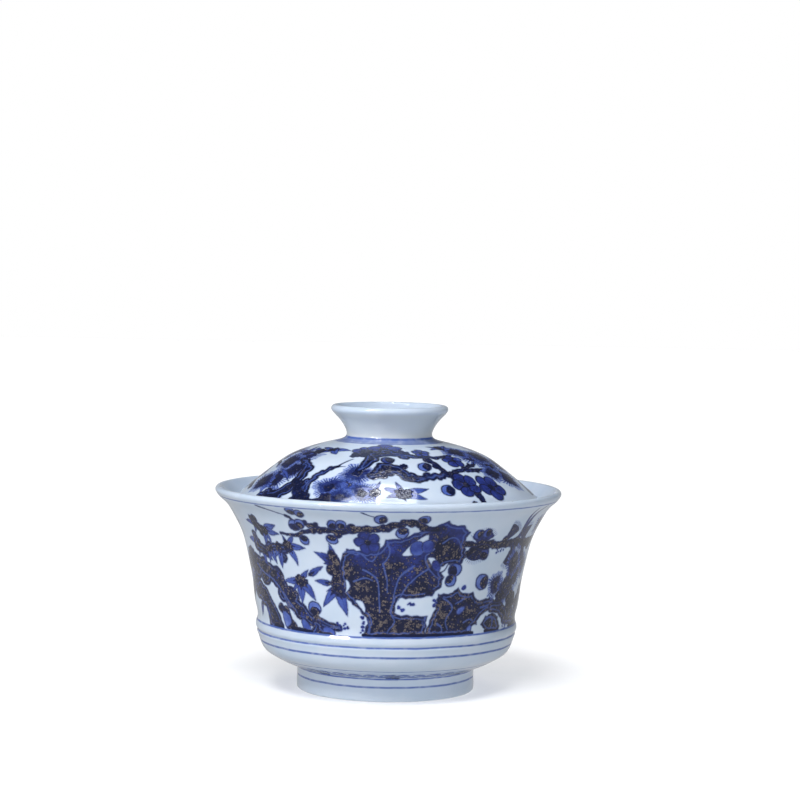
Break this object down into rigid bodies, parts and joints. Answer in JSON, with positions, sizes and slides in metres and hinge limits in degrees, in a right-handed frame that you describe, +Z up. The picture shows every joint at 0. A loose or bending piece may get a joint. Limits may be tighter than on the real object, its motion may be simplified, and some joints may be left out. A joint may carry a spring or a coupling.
{
  "type": "gaiwan",
  "caption": "Lidded tea bowl of glazed porcelain: flared bowl on a foot ring, domed lid that sits inside the flare and lifts off by a ring knob, blue painted plants and rocks.",
  "frame": {"origin": "on the turned axis, in the plane that the foot ring stands on", "axes": "+Z up along the turned axis; -Y is the side that the main painting faces"},
  "size_m": [0.1004, 0.1004, 0.0824],
  "materials": {
    "bowl_glaze": "clear gloss glaze over cobalt blue painting on bluish white porcelain",
    "foot_glaze": "clear gloss glaze, with a bare, fine-grained land where it stands",
    "lid_glaze": "clear gloss glaze over cobalt blue painting on bluish white porcelain",
    "knob_glaze": "plain clear gloss glaze on bluish white porcelain"
  },
  "bodies": {
    "bowl": {"bowl_body": "bowl_glaze", "foot_ring": "foot_glaze"},
    "lid": {"lid_dome": "lid_glaze", "lid_knob": "knob_glaze"}
  },
  "joints": [
    {"name": "lid_lift", "type": "slide", "parent": "bowl", "child": "lid", "axis": [0, 0, 1], "range_m": [0, 0.08]}
  ]
}
